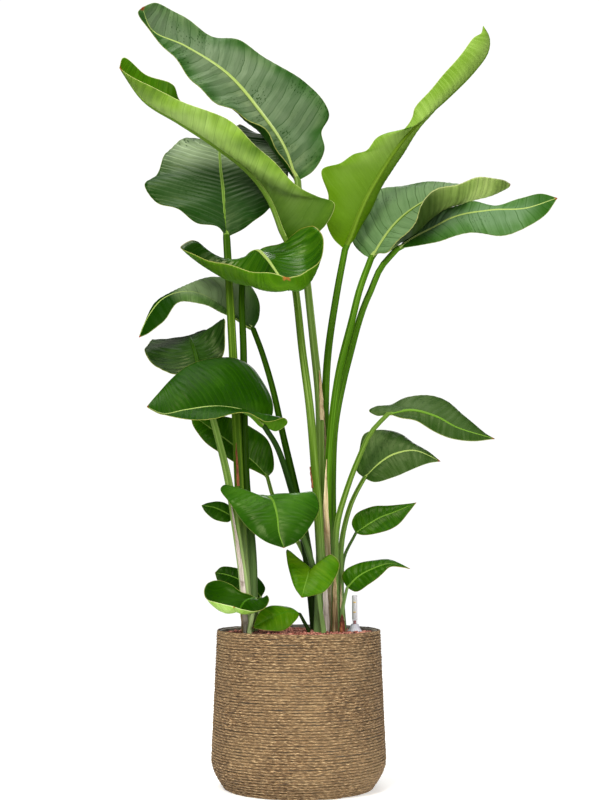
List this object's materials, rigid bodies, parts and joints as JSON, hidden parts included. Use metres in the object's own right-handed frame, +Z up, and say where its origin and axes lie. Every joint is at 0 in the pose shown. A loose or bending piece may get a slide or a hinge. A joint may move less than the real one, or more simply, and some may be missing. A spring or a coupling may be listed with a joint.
{
  "type": "potted plant",
  "caption": "Potted bird of paradise plant with paddle leaves on long stalks, in a rope-wound basket planter filled with clay granules, with a water-level gauge.",
  "frame": {"origin": "centre of the planter's flat bottom", "axes": "+X to the right as the plant is seen from its front, +Y towards its back, +Z up"},
  "size_m": [0.8881, 0.3784, 1.6654],
  "materials": {
    "liner": "matte grey moulded plastic",
    "rope": "rough twisted seagrass rope",
    "clay": "matte baked clay granules",
    "gauge_tube": "clear plastic tube with yellow marks",
    "gauge_float": "red plastic",
    "gauge_cap": "satin grey-blue plastic",
    "leaf": "satin leathery leaf, paler underneath, light midrib and margin"
  },
  "bodies": {
    "root": {"planter_liner": "liner", "rope_wrap": "rope", "clay_fill": "clay", "gauge_tube": "gauge_tube", "gauge_float": "gauge_float", "gauge_cap": "gauge_cap", "leaf_left_1": "leaf", "leaf_left_2": "leaf", "leaf_left_3": "leaf", "leaf_left_4": "leaf", "leaf_left_5": "leaf", "leaf_left_6": "leaf", "leaf_left_7": "leaf", "leaf_left_8": "leaf", "leaf_left_9": "leaf", "leaf_left_10": "leaf", "leaf_left_11": "leaf", "leaf_left_12": "leaf", "leaf_left_13": "leaf", "leaf_left_14": "leaf", "leaf_right_1": "leaf", "leaf_right_2": "leaf", "leaf_right_3": "leaf", "leaf_right_4": "leaf", "leaf_right_5": "leaf", "leaf_right_6": "leaf", "leaf_right_7": "leaf"}
  },
  "joints": []
}
